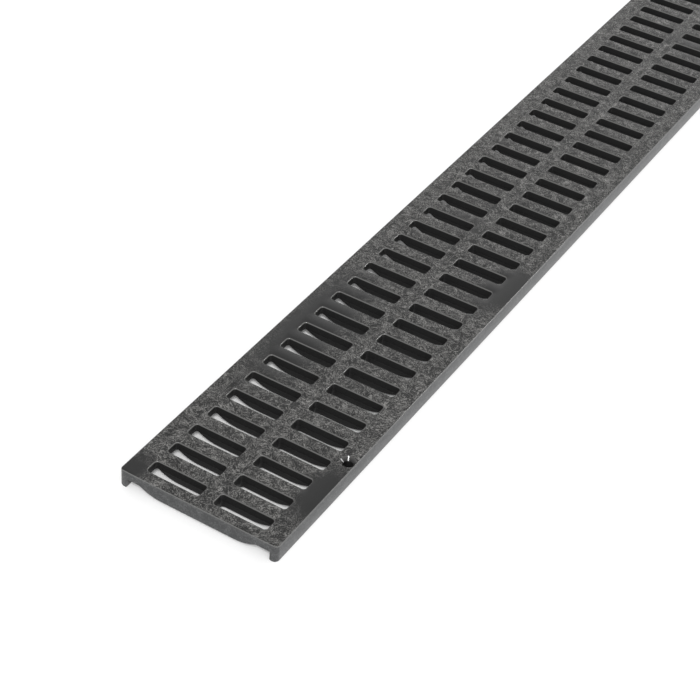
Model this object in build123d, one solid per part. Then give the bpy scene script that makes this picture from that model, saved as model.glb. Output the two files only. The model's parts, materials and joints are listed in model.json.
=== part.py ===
"""Channel drain grate, one moulded piece, in millimetres.

The length runs along Y, the width along X and up is +Z. The origin is in the
middle of the plan, on the plane that the two side lips stand on.
"""

from build123d import *
from math import cos, radians, sin, sqrt
import os

# Plate
width = 69.85
height = 7.9
margin_thickness = 3.7
plan_corner_radius = 1.6

# Side lips that stand in the channel's rebate
lip_width = 3.2
lip_edge_radius = 0.6

# Deeper middle that carries the load, rising in a curve to the thin margins
belly_thickness = 6.4
belly_inset = 9.2
belly_run = 9.5
belly_chords = 3

# Slots, in two columns
rows = 71
pitch = 12.7
slot_width = 6.25
slot_length = 23.4
spine_width = 6.2
slot_corner_radius = 1.9
slot_corner_chords = 3
end_bar_width = 5.2

# Countersunk screw holes, one near each end on opposite sides
screw_hole_diameter = 3.6
countersink_diameter = 6.4
countersink_angle = 90
screw_hole_from_side = 3.3
rows_before_screw_hole = 4
boss_wall = 1.9

# Worked out from the sizes above
length = (rows - 1) * pitch + slot_width + 2 * end_bar_width
bar_width = pitch - slot_width
column_spacing = slot_length + spine_width
belly_drop = belly_thickness - margin_thickness
belly_radius = (belly_run**2 + belly_drop**2) / (2 * belly_drop)
screw_x = width / 2 - screw_hole_from_side
screw_y = length / 2 - end_bar_width - rows_before_screw_hole * pitch + bar_width / 2


def belly_curve():
    """Points on the belly's curved edge, from the thin margin to its flat, joined by chords."""
    belly_flat = width / 2 - belly_inset - belly_run
    points = []
    for step in range(belly_chords + 1):
        across = belly_run * (1 - step / belly_chords)
        rise = belly_radius - sqrt(belly_radius**2 - across**2)
        points.append((belly_flat + across, height - belly_thickness + rise))
    return points


def half_section():
    """Right half of the section across the channel, from the middle line to the side."""
    side = width / 2
    lip_inner = side - lip_width
    underside = height - margin_thickness
    belly_bottom = height - belly_thickness
    with BuildSketch(Plane.XZ) as section:
        with BuildLine():
            Polyline(
                (0, belly_bottom),
                (0, height),
                (side, height),
                (side, 0),
                (lip_inner, 0),
                (lip_inner, underside),
                *belly_curve(),
                close=True,
            )
        make_face()
        lip_corners = section.vertices().filter_by(lambda corner: corner.Y < belly_bottom / 2)
        fillet(lip_corners, lip_edge_radius)
    return section.sketch


def bar_stock():
    """Plate, lips and belly as one straight length with square ends."""
    right = extrude(half_section(), amount=length / 2, both=True)
    return right + mirror(right, about=Plane.YZ)


def slot_corners():
    """Corners of one slot, each of its rounded corners as a few chords, because there are so many slots."""
    corners = []
    for quarter, (across, along) in enumerate([(1, 1), (-1, 1), (-1, -1), (1, -1)]):
        centre_x = across * (slot_length / 2 - slot_corner_radius)
        centre_y = along * (slot_width / 2 - slot_corner_radius)
        for step in range(slot_corner_chords + 1):
            turn = radians(90 * (quarter + step / slot_corner_chords))
            x = centre_x + slot_corner_radius * cos(turn)
            y = centre_y + slot_corner_radius * sin(turn)
            corners.append((x, y))
    return corners


def screw_places():
    """The near screw hole is on the right, and the far one is its turn through half a circle."""
    return Locations((screw_x, -screw_y), (-screw_x, screw_y))


with BuildPart() as grate:
    add(bar_stock())

    # Corners rounded as seen from above
    with BuildSketch():
        RectangleRounded(width, length, plan_corner_radius)
    extrude(amount=height, mode=Mode.INTERSECT)

    # Bosses carry the screws down to the standing plane, merged with the lips
    with BuildSketch():
        with screw_places():
            Circle(screw_hole_diameter / 2 + boss_wall)
        RectangleRounded(width, length, plan_corner_radius, mode=Mode.INTERSECT)
    extrude(amount=height)

    # Slots
    with BuildSketch():
        with GridLocations(column_spacing, pitch, 2, rows):
            Polygon(*slot_corners(), align=None)
    extrude(amount=height, mode=Mode.SUBTRACT)

    # Screw holes
    with Locations((0, 0, height)):
        with screw_places():
            CounterSinkHole(
                screw_hole_diameter / 2,
                countersink_diameter / 2,
                depth=height,
                counter_sink_angle=countersink_angle,
            )

os.makedirs("parts", exist_ok=True)
export_step(grate.part, "parts/grate.step")
print("length", length, "bar width", bar_width, "volume", grate.part.volume)
print("screw holes at", screw_x, screw_y)
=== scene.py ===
"""Channel drain grate: one moulded black plastic piece on a white studio floor."""

import json
from math import cos, pi, radians, sin, sqrt

import bmesh
import bpy
from mathutils import Matrix, Vector


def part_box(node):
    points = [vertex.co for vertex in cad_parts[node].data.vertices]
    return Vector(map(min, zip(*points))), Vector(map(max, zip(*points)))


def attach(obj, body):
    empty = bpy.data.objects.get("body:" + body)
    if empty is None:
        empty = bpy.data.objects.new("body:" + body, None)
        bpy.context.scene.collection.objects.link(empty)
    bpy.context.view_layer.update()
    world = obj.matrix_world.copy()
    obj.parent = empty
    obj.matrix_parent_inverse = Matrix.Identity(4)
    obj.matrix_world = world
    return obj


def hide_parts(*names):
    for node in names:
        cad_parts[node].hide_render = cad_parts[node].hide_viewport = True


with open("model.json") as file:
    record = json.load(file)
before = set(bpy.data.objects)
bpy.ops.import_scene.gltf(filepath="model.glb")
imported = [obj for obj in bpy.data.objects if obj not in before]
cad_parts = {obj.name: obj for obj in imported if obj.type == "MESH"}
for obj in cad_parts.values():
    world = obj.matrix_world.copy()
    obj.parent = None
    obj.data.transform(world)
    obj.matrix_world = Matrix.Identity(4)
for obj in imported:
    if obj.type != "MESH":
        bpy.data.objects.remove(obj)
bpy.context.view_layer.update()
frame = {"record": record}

MM = 0.001

# Plate, from the frame
LOW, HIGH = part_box("grate")
WIDTH = HIGH.x - LOW.x
LENGTH = HIGH.y - LOW.y
HEIGHT = HIGH.z - LOW.z
SIDE = WIDTH / 2

# Section
MARGIN_THICKNESS = 3.7 * MM
BELLY_THICKNESS = 6.4 * MM
BELLY_INSET = 9.2 * MM
BELLY_RUN = 9.5 * MM
LIP_WIDTH = 3.2 * MM
LIP_EDGE_RADIUS = 0.6 * MM
TOP_EDGE_RADIUS = 0.35 * MM
PLAN_CORNER_RADIUS = 1.6 * MM

# Slots
ROWS = 71
PITCH = 12.7 * MM
SLOT_WIDTH = 6.25 * MM
SLOT_LENGTH = 23.4 * MM
SPINE_WIDTH = 6.2 * MM
SLOT_CORNER_RADIUS = 1.3 * MM
RIM_RADIUS = 0.5 * MM
END_BAR_WIDTH = (LENGTH - (ROWS - 1) * PITCH - SLOT_WIDTH) / 2
FIRST_ROW = -(ROWS - 1) / 2 * PITCH

# Screw holes, from the frame: the far one is the near one turned through half a circle
SCREW = frame["record"]["mounts"][0]
SCREW_PLACES = [(turn * SCREW["pos_m"][0], turn * SCREW["pos_m"][1]) for turn in (1, -1)]
SCREW_HOLE_RADIUS = SCREW["dims"]["r_mm"] * MM
COUNTERSINK_RADIUS = 3.2 * MM
COUNTERSINK_DEPTH = COUNTERSINK_RADIUS - SCREW_HOLE_RADIUS
SCREW_RIM_HEIGHT = 0.125 * MM
SCREW_RIM_WIDTH = 0.175 * MM
CUTTER_REACH = 1 * MM
BOSS_WALL = 1.9 * MM
BOSS_RADIUS = SCREW_HOLE_RADIUS + BOSS_WALL
BOSS_LIFT = 0.03 * MM

# How finely curves are divided; the corner steps are even, so that one meets the corner of the cell
CORNER_STEPS = 6
RIM_STEPS = 3
BELLY_STEPS = 6
EDGE_STEPS = 3
PLAN_CORNER_STEPS = 6
HOLE_STEPS = 64
SHARP_ANGLE = radians(35)

# Points nearer than this are one point, and places are rounded to this many digits of a metre
SAME_PLACE = 0.001 * MM
DIGITS = 9

# Where the mesh changes from the ring round a slot to the straight side strip
RING_MARGIN = 2.2 * MM
RING_END = SPINE_WIDTH / 2 + SLOT_LENGTH + RING_MARGIN

BELLY_DROP = BELLY_THICKNESS - MARGIN_THICKNESS
BELLY_RADIUS = (BELLY_RUN**2 + BELLY_DROP**2) / (2 * BELLY_DROP)
BELLY_EDGE = SIDE - BELLY_INSET
BELLY_FLAT = BELLY_EDGE - BELLY_RUN

# Plastic colours and painted light: single ones, and the dark and light end of those that vary
PLAIN_TONES = (0.006, 0.006, 0.006, 1), (0.012, 0.012, 0.012, 1)
GRAIN_TONES = (0.006, 0.006, 0.006, 1), (0.225, 0.221, 0.213, 1)
# The sides, end faces and lip are painted lighter than the top as painted light, with the grain in it
SIDE_LIGHT_TONES = (0.03, 0.031, 0.032, 1), (0.094, 0.095, 0.096, 1)
# The rough upper band of the slots' walls is painted darker as painted shade, with a speckle
WALL_SHADE_TONES = (0.001, 0.001, 0.001, 1), (0.009, 0.009, 0.009, 1)
# Rounded edges and slot rims get a painted highlight, mixed in at this share
RIM_HIGHLIGHT = (0.15, 0.149, 0.145, 1)
RIM_HIGHLIGHT_SHARE = 0.8
CONE_TONE = (0.008, 0.008, 0.008, 1)

# How far a normal points up, or sideways for the walls at the slots' ends: start and end of a smooth step
TOP_FACING = 0.9, 0.99
ROUNDED_FACING = 0.08, 0.3
FLAT_FACING = 0.85, 0.97
WALL_FACING = 0.1, 0.4
CONE_FACING = 0.75, 0.9
END_WALL_FACING = 0.5, 0.95
# The walls at the slots' ends keep only this share of the rough band and its painted shade, so they show
# lighter
END_WALL_SHADE_SHARE = 0.35

# How far in from the end face, and from the side, a finish of the inside has faded out: start and end
END_FACE_FADE = 1.5 * MM, 0.5 * MM
CONE_FADE = 0.6 * MM, 0.2 * MM

# The rough upper part of the slots' walls, painted darker as painted shade
BAND_DEPTH = 3.75 * MM
BAND_EDGE = 0.2 * MM
BAND_RAGGEDNESS = 0.8 * MM

# Noise scales, and how far and how finely the flow marks are bent
RAGGED_SCALE = 900
SPECKLE_SCALE = 1900
CURL_SCALE = 420
MOTTLE_SCALE = 340
CLOUD_SCALE = 60
STRAY_PATCH_SCALE = 14
BEND_SCALE = 90
BEND = 9 * MM

# Shares in the grain, the half width of a flow mark in its noise, and where the grain turns light
SPECKLE_SHARE = 0.8
RIDGE_SHARE = 0.2
MOTTLE_SHARE = 0.5
RIDGE_WIDTH = 0.06
GRAIN_LIGHT = 0.36, 0.76

# Patches with no grain: the middle of each that the photo shows and its reach, and where stray ones start
PATCH_DEPTH = 40 * MM
SMOOTH_PATCHES = [
    ((-SIDE + 8 * MM, -LENGTH / 2 + 5 * MM, HEIGHT), (11 * MM, 16 * MM, PATCH_DEPTH)),
    ((SIDE + 2 * MM, FIRST_ROW + 2.2 * PITCH, HEIGHT), (12 * MM, 22 * MM, PATCH_DEPTH)),
    ((-SIDE + 17 * MM, FIRST_ROW + 8.5 * PITCH, HEIGHT), (19 * MM, 62 * MM, PATCH_DEPTH)),
]
STRAY_PATCHES = 0.62, 0.72
PATCH_EDGE = 0.35, 1.05
CONE_REACH = (4.2 * MM, 4.2 * MM, PATCH_DEPTH)

# Roughness of the sides, and what each finish adds to it
BASE_ROUGHNESS = 0.3
TOP_ROUGHER = 0.14
GRAIN_ROUGHER = 0.3
WALL_ROUGHER = 0.6
CONE_ROUGHER = -0.16
RIM_ROUGHER = -0.13
SPECULAR_LEVEL = 0.38

# Relief of the grain, and the share of it that smooth faces keep
RELIEF_DEPTH = 0.12 * MM
RELIEF_STRENGTH = 0.8
SMOOTH_RELIEF = 0.06

# Studio: places and sizes in metres, lamps in watts, the key in watts per square metre
WHITE = (1, 1, 1, 1)
FLOOR_TONE = (0.96, 0.96, 0.96, 1)
FLOOR_ROUGHNESS = 0.9
FLOOR_REACH = 6.0
FLOOR_GLOW_SHARE = 0.12
SURROUND_STRENGTH = 0.6
KEY_STRENGTH = 1.95
KEY_ANGLE = radians(16)
KEY_AIM = Vector((-0.4, 0.72, -1.0))
LAMPS = [
    ("lamp_front_right", Vector((1.8, -1.7, 0.9)), 2.0, 20),
    ("lamp_back", Vector((-0.9, 2.2, 0.9)), 2.0, 16),
    ("lamp_back_right", Vector((1.7, 1.6, 0.9)), 0.5, 12),
]

# The photo's camera, fitted to the grate's edges and slots: angles in radians, lens and shift in
# pixels, and where a point near the top's near left corner lies from the camera, in grate widths
# to the right, up and forward
AZIMUTH = -0.50393
ELEVATION = 0.69645
ROLL = 0.08406
LENS_PIXELS = 1835.0
IMAGE_PIXELS = 700.0
SHIFT_PIXELS = 6.08, 7.56
SENSOR = 36.0
CORNER_FROM_CAMERA = Vector((-1.17287, -0.57495, 9.67748))
FIT_CORNER_INSET = 1.25 * MM
FIT_CORNER = Vector((-SIDE, -LENGTH / 2 + FIT_CORNER_INSET, HEIGHT))
CLIP_START = 0.01


def under(x):
    """Height of the underside at a distance x from the middle line."""
    if x >= BELLY_EDGE:
        return HEIGHT - MARGIN_THICKNESS
    across = max(0.0, x - BELLY_FLAT)
    return HEIGHT - BELLY_THICKNESS + BELLY_RADIUS - sqrt(BELLY_RADIUS**2 - across**2)


def quarter_circle(steps):
    """Sine and cosine of the angles that divide a quarter circle, both ends included."""
    turns = [pi / 2 * step / steps for step in range(steps + 1)]
    return [(sin(turn), cos(turn)) for turn in turns]


def cell_point(x, y, out_x, out_y, cell_x, cell_y):
    """The point on the cell's edge for a direction from (x, y); 45 degrees meets the cell's corner."""
    across, along = abs(out_x), abs(out_y)
    slide = round(min(across, along) / max(across, along), DIGITS)
    on_x = cell_x if across >= along or slide == 1 else x + (cell_x - x) * slide
    on_y = cell_y if along >= across or slide == 1 else y + (cell_y - y) * slide
    return on_x, on_y


def ring_stations():
    """The stations round one slot, anticlockwise.

    Each is (x, y, outward x, outward y, cell x, cell y): the middle of its corner's arc, the
    direction from there to the slot's wall, and the point on the edge of the cell that goes with it.
    """
    near, far = SPINE_WIDTH / 2, SPINE_WIDTH / 2 + SLOT_LENGTH
    left, right = near + SLOT_CORNER_RADIUS, far - SLOT_CORNER_RADIUS
    top = SLOT_WIDTH / 2 - SLOT_CORNER_RADIUS
    straight = [BELLY_FLAT + BELLY_RUN * step / BELLY_STEPS for step in range(BELLY_STEPS)]
    straight = [x for x in straight if left < x < right]
    straight.insert(0, (left + straight[0]) / 2)
    corners = [(right, top), (left, top), (left, -top), (right, -top)]
    stations = []
    for quarter, (x, y) in enumerate(corners):
        cell_x = RING_END if x == right else 0.0
        cell_y = PITCH / 2 if y > 0 else -PITCH / 2
        for step in range(CORNER_STEPS + 1):
            turn = (quarter + step / CORNER_STEPS) * pi / 2
            out_x, out_y = cos(turn), sin(turn)
            stations.append((x, y, out_x, out_y, *cell_point(x, y, out_x, out_y, cell_x, cell_y)))
        if quarter == 0:
            stations += [(sx, y, 0, 1, sx, cell_y) for sx in reversed(straight)]
        if quarter == 2:
            stations += [(sx, y, 0, -1, sx, cell_y) for sx in straight]
    return stations


def slot_levels():
    """Rings down the slot's wall: distance outside the wall and height, which is None at the underside."""
    levels = []
    for sine, cosine in quarter_circle(RIM_STEPS):
        levels.append((RIM_RADIUS * (1 - sine), HEIGHT - RIM_RADIUS * (1 - cosine)))
    levels.append((0.0, None))
    return levels


def side_outline():
    """The section outside the ring, from the top face over the side and the lip back to the thin margin."""
    lip_inner = SIDE - LIP_WIDTH
    top, lip = TOP_EDGE_RADIUS, LIP_EDGE_RADIUS
    arc = quarter_circle(EDGE_STEPS)
    points = [(RING_END, HEIGHT)]
    points += [(SIDE - top * (1 - sine), HEIGHT - top * (1 - cosine)) for sine, cosine in arc]
    points += [(SIDE - lip * (1 - cosine), lip * (1 - sine)) for sine, cosine in arc]
    points += [(lip_inner + lip * (1 - sine), lip * (1 - cosine)) for sine, cosine in arc]
    points.append((lip_inner, HEIGHT - MARGIN_THICKNESS))
    points.append((RING_END, HEIGHT - MARGIN_THICKNESS))
    return points


def add_quads(mesh, first, second, closed=False):
    """Faces between two rows of vertices of the same length."""
    count = len(first)
    for i in range(count if closed else count - 1):
        j = (i + 1) % count
        mesh.faces.new((first[i], first[j], second[j], second[i]))


def mirrored(mesh):
    """Adds the left half to the right half, and joins the two."""
    bmesh.ops.remove_doubles(mesh, verts=mesh.verts, dist=SAME_PLACE)
    copy = bmesh.ops.duplicate(mesh, geom=mesh.verts[:] + mesh.edges[:] + mesh.faces[:])["geom"]
    verts = [item for item in copy if isinstance(item, bmesh.types.BMVert)]
    faces = [item for item in copy if isinstance(item, bmesh.types.BMFace)]
    bmesh.ops.scale(mesh, vec=(-1, 1, 1), verts=verts)
    bmesh.ops.reverse_faces(mesh, faces=faces)
    bmesh.ops.remove_doubles(mesh, verts=mesh.verts, dist=SAME_PLACE)


def finished(mesh, name):
    """An object made from a bmesh."""
    data = bpy.data.meshes.new(name)
    mesh.to_mesh(data)
    mesh.free()
    piece = bpy.data.objects.new(name, data)
    bpy.context.scene.collection.objects.link(piece)
    return piece


def row_module():
    """One pitch of the grate: two slots with the bar halves, margins and lips beside them."""
    mesh = bmesh.new()
    stations = ring_stations()
    rings = [[mesh.verts.new((s[4], s[5], HEIGHT)) for s in stations]]
    for out, z in slot_levels():
        radius = SLOT_CORNER_RADIUS + out
        ring = []
        for x, y, out_x, out_y, _, _ in stations:
            px, py = x + out_x * radius, y + out_y * radius
            ring.append(mesh.verts.new((px, py, under(px) if z is None else z)))
        rings.append(ring)
    rings.append([mesh.verts.new((s[4], s[5], under(s[4]))) for s in stations])
    for outer, inner in zip(rings, rings[1:]):
        add_quads(mesh, outer, inner, closed=True)
    edge_y = sorted({round(s[5], DIGITS) for s in stations if s[4] == RING_END})
    outline = side_outline()
    columns = [[mesh.verts.new((x, y, z)) for x, z in outline] for y in edge_y]
    for first, second in zip(columns, columns[1:]):
        add_quads(mesh, first, second)
    mirrored(mesh)
    return finished(mesh, "slot_row")


def end_outline():
    """Half of the section at the end of a row, from the middle line over the top, side and underside."""
    across = sorted({round(s[4], DIGITS) for s in ring_stations() if s[5] == PITCH / 2})
    over = [(x, HEIGHT) for x in across[:-1]]
    back = [(x, under(x)) for x in reversed(across[:-1])]
    return over + side_outline() + back


def rounding(distance, radius):
    """How far a rounded edge has drawn back at a distance from its end."""
    if distance >= radius:
        return 0.0
    return radius - sqrt(radius**2 - (radius - distance) ** 2)


def end_module():
    """The rest of the end bar, outside the last row, with its rounded corners. Its end faces -Y."""
    strip = END_BAR_WIDTH - (PITCH - SLOT_WIDTH) / 2
    distances = [strip]
    distances += [PLAN_CORNER_RADIUS * (1 - sine) for sine, _ in quarter_circle(PLAN_CORNER_STEPS)]
    distances += [TOP_EDGE_RADIUS * (1 - sine) for sine, _ in quarter_circle(EDGE_STEPS)]
    distances = sorted({round(d, DIGITS) for d in distances if d <= strip}, reverse=True)
    mesh = bmesh.new()
    sections = []
    outline = end_outline()
    edge_foot = HEIGHT - TOP_EDGE_RADIUS - SAME_PLACE
    for distance in distances:
        inset = rounding(distance, PLAN_CORNER_RADIUS)
        drop = rounding(distance, TOP_EDGE_RADIUS)
        section = []
        for x, z in outline:
            px = x - inset if x > SIDE - LIP_WIDTH / 2 else min(x, SIDE - inset)
            pz = z - drop if z > edge_foot else z
            section.append(mesh.verts.new((px, distance, pz)))
        sections.append(section)
    for first, second in zip(sections, sections[1:]):
        add_quads(mesh, second, first)

    # The end face: quads between top and underside, and one face for the side with its lip
    section = sections[-1]
    flat_points = (len(outline) - len(side_outline())) // 2
    for i in range(flat_points):
        mesh.faces.new((section[-1 - i], section[-2 - i], section[i + 1], section[i]))
    mesh.faces.new(reversed(section[flat_points:-flat_points]))
    mirrored(mesh)
    bmesh.ops.translate(mesh, vec=(0, -LENGTH / 2, 0), verts=mesh.verts)
    return finished(mesh, "end_strip")


def revolved(mesh, profile, centre, limit=None):
    """A closed turned shape from (radius, height) points, first and last on the axis.

    With a limit, no point lies farther than that from the grate's middle line.
    """
    rings = []
    for radius, z in profile[1:-1]:
        ring = []
        for step in range(HOLE_STEPS):
            turn = 2 * pi * step / HOLE_STEPS
            x = centre[0] + radius * cos(turn)
            y = centre[1] + radius * sin(turn)
            if limit is not None:
                x = max(-limit, min(limit, x))
            ring.append(mesh.verts.new((x, y, z)))
        rings.append(ring)
    for first, second in zip(rings, rings[1:]):
        add_quads(mesh, first, second, closed=True)
    for ring, (_, z), flip in ((rings[0], profile[0], False), (rings[-1], profile[-1], True)):
        tip = mesh.verts.new((centre[0], centre[1], z))
        for i in range(HOLE_STEPS):
            a, b = ring[i], ring[(i + 1) % HOLE_STEPS]
            mesh.faces.new((a, tip, b) if flip else (b, tip, a))


def screw_cutter():
    """What both screw holes remove: a through hole, a countersink and a small rounding of its rim."""
    mesh = bmesh.new()
    bottom, top = -CUTTER_REACH, HEIGHT + CUTTER_REACH
    profile = [(0, bottom), (SCREW_HOLE_RADIUS, bottom), (SCREW_HOLE_RADIUS, HEIGHT - COUNTERSINK_DEPTH)]
    for step in range(EDGE_STEPS + 1):
        spread = SCREW_RIM_WIDTH * sin(pi / 4 * step / EDGE_STEPS)
        drop = SCREW_RIM_HEIGHT * (1 - step / EDGE_STEPS)
        profile.append((COUNTERSINK_RADIUS - SCREW_RIM_HEIGHT + spread, HEIGHT - drop))
    profile.append((profile[-1][0], top))
    profile.append((0, top))
    for place in SCREW_PLACES:
        revolved(mesh, profile, place)
    bmesh.ops.recalc_face_normals(mesh, faces=mesh.faces)
    return finished(mesh, "screw_cutter")


def screw_bosses():
    """The two bosses under the margins, round the screw holes, kept inside the plate's sides."""
    mesh = bmesh.new()
    top = HEIGHT - MARGIN_THICKNESS / 2
    profile = [(0, BOSS_LIFT), (BOSS_RADIUS, BOSS_LIFT), (BOSS_RADIUS, top), (0, top)]
    for place in SCREW_PLACES:
        revolved(mesh, profile, place, limit=SIDE - 2 * LIP_EDGE_RADIUS)
    bmesh.ops.recalc_face_normals(mesh, faces=mesh.faces)
    return finished(mesh, "screw_bosses")


def rows_tree(material):
    """Repeats the row, closes both ends, adds the bosses and cuts the screw holes."""
    tree = bpy.data.node_groups.new("grate_rows", "GeometryNodeTree")
    given_sockets = [
        ("Geometry", "NodeSocketGeometry"),
        ("Rows", "NodeSocketInt"),
        ("Pitch", "NodeSocketFloat"),
        ("End strip", "NodeSocketObject"),
        ("Screw bosses", "NodeSocketObject"),
        ("Screw cutter", "NodeSocketObject"),
    ]
    for name, kind in given_sockets:
        tree.interface.new_socket(name, in_out="INPUT", socket_type=kind)
    tree.interface.new_socket("Geometry", in_out="OUTPUT", socket_type="NodeSocketGeometry")
    nodes, link = tree.nodes, tree.links.new
    given = nodes.new("NodeGroupInput")
    result = nodes.new("NodeGroupOutput")

    # Row places along the length, centred
    last = nodes.new("ShaderNodeMath")
    last.operation = "SUBTRACT"
    last.inputs[1].default_value = 1
    link(given.outputs["Rows"], last.inputs[0])
    span = nodes.new("ShaderNodeMath")
    span.operation = "MULTIPLY"
    link(last.outputs[0], span.inputs[0])
    link(given.outputs["Pitch"], span.inputs[1])
    start = nodes.new("ShaderNodeMath")
    start.operation = "MULTIPLY"
    start.inputs[1].default_value = -0.5
    link(span.outputs[0], start.inputs[0])
    start_place = nodes.new("ShaderNodeCombineXYZ")
    link(start.outputs[0], start_place.inputs["Y"])
    step = nodes.new("ShaderNodeCombineXYZ")
    link(given.outputs["Pitch"], step.inputs["Y"])
    line = nodes.new("GeometryNodeMeshLine")
    line.mode = "OFFSET"
    link(given.outputs["Rows"], line.inputs["Count"])
    link(start_place.outputs[0], line.inputs["Start Location"])
    link(step.outputs[0], line.inputs["Offset"])
    rows = nodes.new("GeometryNodeInstanceOnPoints")
    link(line.outputs[0], rows.inputs["Points"])
    link(given.outputs["Geometry"], rows.inputs["Instance"])

    # Both ends
    end = nodes.new("GeometryNodeObjectInfo")
    link(given.outputs["End strip"], end.inputs["Object"])
    turned = nodes.new("GeometryNodeTransform")
    turned.inputs["Rotation"].default_value = (0, 0, pi)
    link(end.outputs["Geometry"], turned.inputs["Geometry"])
    joined = nodes.new("GeometryNodeJoinGeometry")
    for source in (rows.outputs[0], end.outputs["Geometry"], turned.outputs[0]):
        link(source, joined.inputs[0])
    solid = nodes.new("GeometryNodeRealizeInstances")
    link(joined.outputs[0], solid.inputs[0])
    merged = nodes.new("GeometryNodeMergeByDistance")
    merged.inputs["Distance"].default_value = 2 * SAME_PLACE
    link(solid.outputs[0], merged.inputs[0])

    # Bosses and holes
    boss = nodes.new("GeometryNodeObjectInfo")
    link(given.outputs["Screw bosses"], boss.inputs["Object"])
    union = nodes.new("GeometryNodeMeshBoolean")
    union.operation = "UNION"
    union.solver = "EXACT"
    link(merged.outputs[0], union.inputs["Mesh 2"])
    link(boss.outputs["Geometry"], union.inputs["Mesh 2"])
    cutter = nodes.new("GeometryNodeObjectInfo")
    link(given.outputs["Screw cutter"], cutter.inputs["Object"])
    drilled = nodes.new("GeometryNodeMeshBoolean")
    drilled.operation = "DIFFERENCE"
    drilled.solver = "EXACT"
    link(union.outputs[0], drilled.inputs["Mesh 1"])
    link(cutter.outputs["Geometry"], drilled.inputs["Mesh 2"])

    plain_mesh = nodes.new("GeometryNodeRealizeInstances")
    link(drilled.outputs[0], plain_mesh.inputs[0])
    finish = nodes.new("GeometryNodeSetMaterial")
    finish.inputs["Material"].default_value = material
    link(plain_mesh.outputs[0], finish.inputs["Geometry"])
    link(finish.outputs[0], result.inputs[0])
    return tree


def grate_piece(material):
    """The whole grate as one plain mesh."""
    row = row_module()
    helpers = {"End strip": end_module(), "Screw bosses": screw_bosses(), "Screw cutter": screw_cutter()}
    values = {"Rows": ROWS, "Pitch": PITCH, **helpers}
    modifier = row.modifiers.new("rows", "NODES")
    modifier.node_group = rows_tree(material)
    for socket in modifier.node_group.interface.items_tree:
        if socket.in_out == "INPUT" and socket.name in values:
            modifier[socket.identifier] = values[socket.name]
    evaluated = row.evaluated_get(bpy.context.evaluated_depsgraph_get())
    data = bpy.data.meshes.new_from_object(evaluated)
    data.name = "moulded_grate"
    row.modifiers.remove(modifier)
    for helper in [row, *helpers.values()]:
        bpy.data.objects.remove(helper)
    data.polygons.foreach_set("use_smooth", [True] * len(data.polygons))
    data.set_sharp_from_angle(angle=SHARP_ANGLE)
    piece = bpy.data.objects.new("moulded_grate", data)
    bpy.context.scene.collection.objects.link(piece)
    return piece


class Shading:
    """Short ways to add nodes to one material."""

    def __init__(self, name):
        self.material = bpy.data.materials.new(name)
        self.material.use_nodes = True
        self.tree = self.material.node_tree
        self.nodes = self.tree.nodes
        self.shader = self.nodes["Principled BSDF"]
        self.output = self.nodes["Material Output"]

    def put(self, value, socket):
        """Links an output, or sets a plain value."""
        if isinstance(value, bpy.types.NodeSocket):
            self.tree.links.new(value, socket)
        else:
            socket.default_value = value

    def math(self, operation, first, second=0.0, third=0.0):
        """A calculation with up to three values."""
        node = self.nodes.new("ShaderNodeMath")
        node.operation = operation
        self.put(first, node.inputs[0])
        self.put(second, node.inputs[1])
        self.put(third, node.inputs[2])
        return node.outputs[0]

    def vector(self, operation, *values):
        """A calculation with up to three vectors."""
        node = self.nodes.new("ShaderNodeVectorMath")
        node.operation = operation
        for value, socket in zip(values, node.inputs):
            self.put(value, socket)
        return node.outputs["Value"] if operation == "LENGTH" else node.outputs["Vector"]

    def split(self, vector):
        """The three parts of a vector."""
        node = self.nodes.new("ShaderNodeSeparateXYZ")
        self.put(vector, node.inputs[0])
        return node.outputs

    def smooth(self, value, low, high, to_low=0.0, to_high=1.0):
        """A smooth step of value between low and high."""
        node = self.nodes.new("ShaderNodeMapRange")
        node.interpolation_type = "SMOOTHSTEP"
        self.put(value, node.inputs["Value"])
        node.inputs["From Min"].default_value = low
        node.inputs["From Max"].default_value = high
        node.inputs["To Min"].default_value = to_low
        node.inputs["To Max"].default_value = to_high
        return node.outputs[0]

    def fall(self, value, low, high):
        """A smooth step down from 1 to 0."""
        return self.smooth(value, low, high, 1.0, 0.0)

    def noise(self, place, scale, detail=2.0, roughness=0.5, distortion=0.0, output="Fac"):
        """Noise at a place."""
        node = self.nodes.new("ShaderNodeTexNoise")
        self.put(place, node.inputs["Vector"])
        node.inputs["Scale"].default_value = scale
        node.inputs["Detail"].default_value = detail
        node.inputs["Roughness"].default_value = roughness
        node.inputs["Distortion"].default_value = distortion
        return node.outputs[output]

    def blend(self, factor, first, second):
        """A colour between two."""
        node = self.nodes.new("ShaderNodeMix")
        node.data_type = "RGBA"
        self.put(factor, node.inputs[0])
        self.put(first, node.inputs[6])
        self.put(second, node.inputs[7])
        return node.outputs[2]

    def near(self, place, centre, reach):
        """1 at a centre, falling smoothly to 0 about its reach each way."""
        shape = self.vector("DIVIDE", self.vector("SUBTRACT", place, centre), reach)
        return self.fall(self.vector("LENGTH", shape), *PATCH_EDGE)


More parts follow.
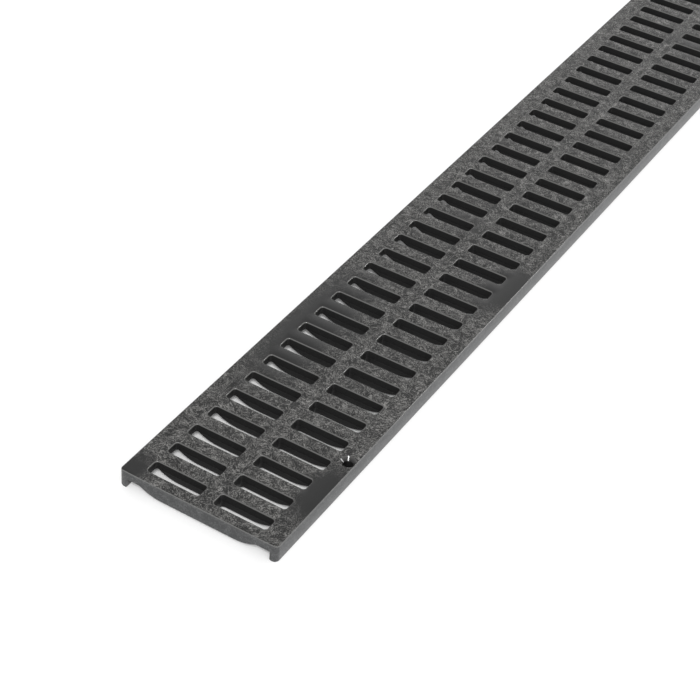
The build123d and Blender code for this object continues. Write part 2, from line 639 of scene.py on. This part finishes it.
def black_plastic():
    """Moulded black plastic: a flow-marked grain on the top, smooth patches, rough slot walls with painted
    shade, sides with painted light and a painted highlight on rounded edges.
    """
    paint = Shading("black_plastic")
    where = paint.nodes.new("ShaderNodeTexCoord").outputs["Object"]
    x, y, z = paint.split(where)
    facing = paint.split(paint.nodes.new("ShaderNodeNewGeometry").outputs["Normal"])
    up = facing["Z"]

    # Where each finish, painted light and painted shade lies
    top = paint.smooth(up, *TOP_FACING)
    rounded = paint.math("MULTIPLY", paint.smooth(up, *ROUNDED_FACING), paint.fall(up, *FLAT_FACING))
    across = paint.math("ABSOLUTE", x)
    along = paint.math("ABSOLUTE", y)
    inside_x = paint.fall(across, SIDE - LIP_WIDTH, SIDE - LIP_WIDTH / 2)
    inside_y = paint.fall(along, LENGTH / 2 - END_FACE_FADE[0], LENGTH / 2 - END_FACE_FADE[1])
    inside = paint.math("MULTIPLY", inside_x, inside_y)
    wall = paint.math("MULTIPLY", inside, paint.fall(paint.math("ABSOLUTE", up), *WALL_FACING))
    ragged = paint.math("SUBTRACT", paint.noise(where, RAGGED_SCALE), 0.5)
    level = paint.math("MULTIPLY_ADD", ragged, BAND_RAGGEDNESS, z)
    band_foot = HEIGHT - BAND_DEPTH
    band = paint.smooth(level, band_foot - BAND_EDGE, band_foot + BAND_EDGE)
    sideways = paint.math("ABSOLUTE", facing["X"])
    # The walls at the slots' ends keep only a share of the rough band: less roughness and less painted
    # shade, so they show lighter
    end_wall = paint.smooth(sideways, *END_WALL_FACING, 1.0, END_WALL_SHADE_SHARE)
    upper_wall = paint.math("MULTIPLY", paint.math("MULTIPLY", wall, band), end_wall)

    # Patches with no grain, in the places the photo shows and a few stray ones
    ripple = paint.noise(where, BEND_SCALE, output="Color")
    bent = paint.vector("MULTIPLY_ADD", ripple, (BEND, BEND, 0), where)
    smooth_patch = paint.smooth(paint.noise(where, STRAY_PATCH_SCALE, detail=1.0), *STRAY_PATCHES)
    for centre, reach in SMOOTH_PATCHES:
        smooth_patch = paint.math("MAXIMUM", smooth_patch, paint.near(bent, centre, reach))
    grained = paint.math("MULTIPLY", top, paint.math("SUBTRACT", 1.0, smooth_patch))

    # Grain: fine speckle, short curled flow marks and a coarser mottle
    speckle = paint.noise(where, SPECKLE_SCALE, detail=3.0, roughness=0.7)
    curl = paint.noise(bent, CURL_SCALE, detail=2.0, roughness=0.6, distortion=1.8)
    off_ridge = paint.math("ABSOLUTE", paint.math("SUBTRACT", curl, 0.5))
    ridge = paint.fall(off_ridge, 0.0, RIDGE_WIDTH)
    mottle = paint.noise(bent, MOTTLE_SCALE, detail=3.0, roughness=0.7)
    mottle = paint.math("MULTIPLY", paint.math("SUBTRACT", mottle, 0.5), MOTTLE_SHARE)
    grain = paint.math("MULTIPLY", speckle, SPECKLE_SHARE)
    grain = paint.math("ADD", grain, paint.math("MULTIPLY", ridge, RIDGE_SHARE))
    grain = paint.math("ADD", grain, mottle)
    light_grain = paint.smooth(grain, *GRAIN_LIGHT)
    cloud = paint.noise(where, CLOUD_SCALE)

    # The cones of the screw holes
    cones = 0.0
    for place in SCREW_PLACES:
        cones = paint.math("MAXIMUM", cones, paint.near(where, (*place, HEIGHT), CONE_REACH))
    cones = paint.math("MULTIPLY", cones, paint.fall(up, *CONE_FACING))
    cones = paint.math("MULTIPLY", cones, paint.fall(across, SIDE - CONE_FADE[0], SIDE - CONE_FADE[1]))

    # Colour
    colour = paint.blend(grained, paint.blend(cloud, *PLAIN_TONES), paint.blend(light_grain, *GRAIN_TONES))
    outside = paint.math("MULTIPLY", paint.math("SUBTRACT", 1.0, inside), paint.math("SUBTRACT", 1.0, top))
    # Painted light: the sides, end faces and lip are lighter than the top, with the grain in them
    colour = paint.blend(outside, colour, paint.blend(light_grain, *SIDE_LIGHT_TONES))
    # Painted highlight on rounded edges and slot rims
    colour = paint.blend(paint.math("MULTIPLY", rounded, RIM_HIGHLIGHT_SHARE), colour, RIM_HIGHLIGHT)
    # Painted shade: the rough upper band of the slots' walls is darker, with a speckle
    colour = paint.blend(upper_wall, colour, paint.blend(speckle, *WALL_SHADE_TONES))
    colour = paint.blend(cones, colour, CONE_TONE)
    paint.put(colour, paint.shader.inputs["Base Color"])

    # Gloss
    rough_grain = paint.math("MULTIPLY", grained, speckle)
    gloss = paint.math("MULTIPLY_ADD", top, TOP_ROUGHER, BASE_ROUGHNESS)
    gloss = paint.math("MULTIPLY_ADD", rough_grain, GRAIN_ROUGHER, gloss)
    gloss = paint.math("MULTIPLY_ADD", upper_wall, WALL_ROUGHER, gloss)
    gloss = paint.math("MULTIPLY_ADD", cones, CONE_ROUGHER, gloss)
    gloss = paint.math("MULTIPLY_ADD", rounded, RIM_ROUGHER, gloss)
    paint.put(gloss, paint.shader.inputs["Roughness"])
    paint.shader.inputs["Specular IOR Level"].default_value = SPECULAR_LEVEL

    # Relief
    bump = paint.nodes.new("ShaderNodeBump")
    bump.inputs["Distance"].default_value = RELIEF_DEPTH
    bump.inputs["Strength"].default_value = RELIEF_STRENGTH
    rough = paint.math("MAXIMUM", paint.math("MAXIMUM", grained, upper_wall), SMOOTH_RELIEF)
    paint.put(paint.math("MULTIPLY", grain, rough), bump.inputs["Height"])
    paint.put(bump.outputs[0], paint.shader.inputs["Normal"])
    return paint.material


def shows_white(paint):
    """A factor that is 1 for what the camera or a reflection sees."""
    path = paint.nodes.new("ShaderNodeLightPath").outputs
    seen = paint.math("MAXIMUM", path["Is Camera Ray"], path["Is Glossy Ray"])
    return paint.math("MAXIMUM", seen, path["Is Transmission Ray"])


def white_floor():
    """A plain white floor, as white as the photo's background, with the grate's soft shadow."""
    data = bpy.data.meshes.new("floor")
    corners = [(-1, -1), (1, -1), (1, 1), (-1, 1)]
    data.from_pydata([(x * FLOOR_REACH, y * FLOOR_REACH, 0) for x, y in corners], [], [(0, 1, 2, 3)])
    floor = bpy.data.objects.new("floor", data)
    bpy.context.scene.collection.objects.link(floor)
    paint = Shading("white_floor")
    paint.shader.inputs["Base Color"].default_value = FLOOR_TONE
    paint.shader.inputs["Roughness"].default_value = FLOOR_ROUGHNESS
    glow = paint.nodes.new("ShaderNodeEmission")
    glow.inputs["Color"].default_value = WHITE
    glow.inputs["Strength"].default_value = 1.0
    mix = paint.nodes.new("ShaderNodeMixShader")
    paint.put(paint.math("MULTIPLY", shows_white(paint), FLOOR_GLOW_SHARE), mix.inputs["Fac"])
    paint.put(paint.shader.outputs[0], mix.inputs[1])
    paint.put(glow.outputs[0], mix.inputs[2])
    paint.put(mix.outputs[0], paint.output.inputs["Surface"])
    data.materials.append(paint.material)


def studio_light():
    """A plain surround that the camera sees as white, a soft key from the front and three soft lamps."""
    world = bpy.data.worlds.new("studio")
    world.use_nodes = True
    nodes, link = world.node_tree.nodes, world.node_tree.links.new
    surround = nodes["Background"]
    surround.inputs["Color"].default_value = WHITE
    surround.inputs["Strength"].default_value = SURROUND_STRENGTH
    white = nodes.new("ShaderNodeBackground")
    white.inputs["Color"].default_value = WHITE
    white.inputs["Strength"].default_value = 1.0
    mix = nodes.new("ShaderNodeMixShader")
    link(nodes.new("ShaderNodeLightPath").outputs["Is Camera Ray"], mix.inputs["Fac"])
    link(surround.outputs[0], mix.inputs[1])
    link(white.outputs[0], mix.inputs[2])
    link(mix.outputs[0], nodes["World Output"].inputs["Surface"])
    bpy.context.scene.world = world

    for name, place, size, power in LAMPS:
        lamp = bpy.data.lights.new(name, "AREA")
        lamp.shape = "SQUARE"
        lamp.size = size
        lamp.energy = power
        place_light(name, lamp, place, Vector((0, -LENGTH / 4, 0)) - place)

    key = bpy.data.lights.new("key", "SUN")
    key.energy = KEY_STRENGTH
    key.angle = KEY_ANGLE
    place_light("key", key, Vector(), KEY_AIM)


def place_light(name, light, place, aim):
    """A light at a place, shining along its aim."""
    holder = bpy.data.objects.new(name, light)
    holder.matrix_world = Matrix.Translation(place) @ aim.to_track_quat("-Z", "Y").to_matrix().to_4x4()
    bpy.context.scene.collection.objects.link(holder)


def photo_camera():
    """The camera with the photo's view."""
    forward = Vector((sin(AZIMUTH) * cos(ELEVATION), cos(AZIMUTH) * cos(ELEVATION), -sin(ELEVATION)))
    level_right = forward.cross(Vector((0, 0, 1))).normalized()
    level_up = level_right.cross(forward)
    right = cos(ROLL) * level_right + sin(ROLL) * level_up
    up = -sin(ROLL) * level_right + cos(ROLL) * level_up
    offset = CORNER_FROM_CAMERA
    place = FIT_CORNER - (right * offset.x + up * offset.y + forward * offset.z) * WIDTH
    turn = Matrix((right, up, -forward)).transposed().to_4x4()
    data = bpy.data.cameras.new("photo_camera")
    data.sensor_width = SENSOR
    data.lens = LENS_PIXELS * SENSOR / IMAGE_PIXELS
    data.shift_x = SHIFT_PIXELS[0] / IMAGE_PIXELS
    data.shift_y = SHIFT_PIXELS[1] / IMAGE_PIXELS
    data.clip_start = CLIP_START
    camera = bpy.data.objects.new("photo_camera", data)
    camera.matrix_world = Matrix.Translation(place) @ turn
    bpy.context.scene.collection.objects.link(camera)
    bpy.context.scene.camera = camera


photo_camera()
studio_light()
white_floor()
grate = grate_piece(black_plastic())
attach(grate, "root")
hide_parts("grate")

bpy.context.scene.view_settings.view_transform = "Standard"
